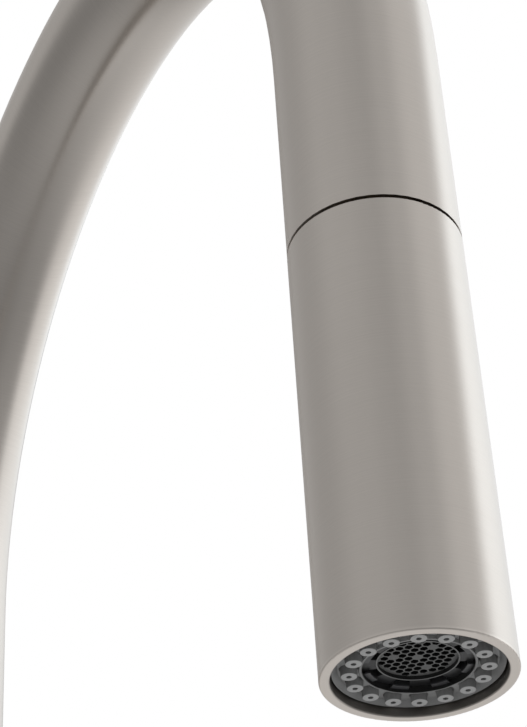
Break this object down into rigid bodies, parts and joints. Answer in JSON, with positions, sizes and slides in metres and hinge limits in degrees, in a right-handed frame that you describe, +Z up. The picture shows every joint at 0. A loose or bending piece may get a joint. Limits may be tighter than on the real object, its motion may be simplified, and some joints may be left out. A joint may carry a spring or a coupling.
{
  "type": "kitchen faucet",
  "caption": "Single-lever gooseneck kitchen faucet with a pull-down spray head, push-button diverter, aerated centre outlet and a ring of rubber spray nozzles.",
  "frame": {"origin": "centre of the base flange's underside, on the deck's surface and the riser's axis", "axes": "+Z up along the riser, -Y towards the spray head, +X towards the lever; millimetre solids, metres in the row"},
  "size_m": [0.092, 0.276, 0.5975],
  "materials": {
    "brushed_nickel": "finely brushed round the tube",
    "brass": "machined",
    "steel": "satin",
    "copper": "drawn copper",
    "black_plastic": "moulded",
    "white_plastic": "moulded",
    "grey_plastic": "satin moulded",
    "grey_silicone": "soft, matt",
    "button_plastic": "satin nickel plated plastic",
    "index_plastic": "moulded",
    "ceramic": "polished ceramic",
    "black_rubber": "matt",
    "magnet": "black coated",
    "braid": "grey nylon braid"
  },
  "bodies": {
    "body": {"base_flange": "brushed_nickel", "base_gasket": "black_rubber", "faucet_body": "brushed_nickel", "mounting_shank": "brass", "mounting_gasket": "black_rubber", "mounting_washer": "steel", "mounting_nut": "brass", "thrust_screws": "steel", "outlet_tube": "copper", "outlet_coupling": "brass", "hose_plug": "brass", "hose_riser": "braid", "swivel_bush_lower": "white_plastic", "swivel_bush_upper": "white_plastic", "spout_stop_screw": "steel", "cartridge_base": "white_plastic", "port_seals": "black_rubber", "cartridge_shell": "white_plastic", "fixed_disc": "ceramic", "cartridge_nut": "brass", "bonnet_ring": "brushed_nickel"},
    "spout": {"spout_tube": "brushed_nickel", "spout_stem": "brass", "spout_collar": "brushed_nickel", "dock_collar": "black_plastic", "dock_magnet": "magnet", "hose_arch": "braid"},
    "hose_end": {"hose_tail": "braid", "hose_ferrule": "steel"},
    "spray_head": {"spray_shell": "brushed_nickel", "head_inlet": "brass", "strike_ring": "steel", "hose_nut": "brass", "hose_washer": "black_rubber", "check_valve_body": "black_plastic", "check_valve_spring": "steel", "inlet_screen": "steel", "waterway": "black_plastic", "diverter_spring": "steel", "face_plate": "grey_plastic", "nozzle_ring": "grey_silicone", "aerator_housing": "black_plastic", "aerator_honeycomb": "black_plastic", "aerator_screen": "steel", "aerator_gasket": "black_rubber"},
    "diverter": {"diverter_spool": "black_plastic", "diverter_button": "button_plastic", "spool_seals": "black_rubber"},
    "check_poppet": {"check_valve_poppet": "white_plastic"},
    "rotor": {"cartridge_rotor": "white_plastic", "stem_pin": "steel"},
    "handle": {"cartridge_stem": "steel", "handle_hub": "brushed_nickel", "lever_rod": "brushed_nickel", "handle_set_screw": "steel", "index_plug": "index_plastic"},
    "disc": {"moving_disc": "ceramic", "disc_carrier": "white_plastic"}
  },
  "joints": [
    {"name": "spout_swivel", "type": "hinge", "parent": "body", "child": "spout", "pos_m": [0, 0, 0], "axis": [0, 0, 1], "range_deg": [-60, 60]},
    {"name": "spray_pull", "type": "slide", "parent": "spout", "child": "hose_end", "axis": [0, 0, -1], "range_m": [0, 0.4], "stiffness_N_per_m": 3, "springref_m": -1.4, "deforming": ["hose_tail"]},
    {"name": "spray_twist", "type": "hinge", "parent": "hose_end", "child": "spray_head", "pos_m": [0, -0.232, 0.31], "axis": [0, 0, 1], "continuous": true},
    {"name": "diverter_press", "type": "slide", "parent": "spray_head", "child": "diverter", "axis": [0, -1, 0], "range_m": [0, 0.002], "stiffness_N_per_m": 1000, "springref_m": -0.003, "deforming": ["diverter_spring"]},
    {"name": "check_open", "type": "slide", "parent": "spray_head", "child": "check_poppet", "axis": [0, 0, -1], "range_m": [0, 0.0025], "stiffness_N_per_m": 100, "springref_m": -0.005, "deforming": ["check_valve_spring"]},
    {"name": "handle_turn", "type": "hinge", "parent": "body", "child": "rotor", "pos_m": [0.035, 0, 0.105], "axis": [1, 0, 0], "range_deg": [-50, 50]},
    {"name": "handle_lift", "type": "hinge", "parent": "rotor", "child": "handle", "pos_m": [0.035, 0, 0.105], "axis": [0, 1, 0], "range_deg": [0, 20]},
    {"name": "disc_slide", "type": "slide", "parent": "rotor", "child": "disc", "axis": [0, 0, 1], "range_m": [0, 0.0036]}
  ],
  "couplings": [
    {"joint": "disc_slide", "follows": "handle_lift", "m_per_rad": 0.01003}
  ]
}
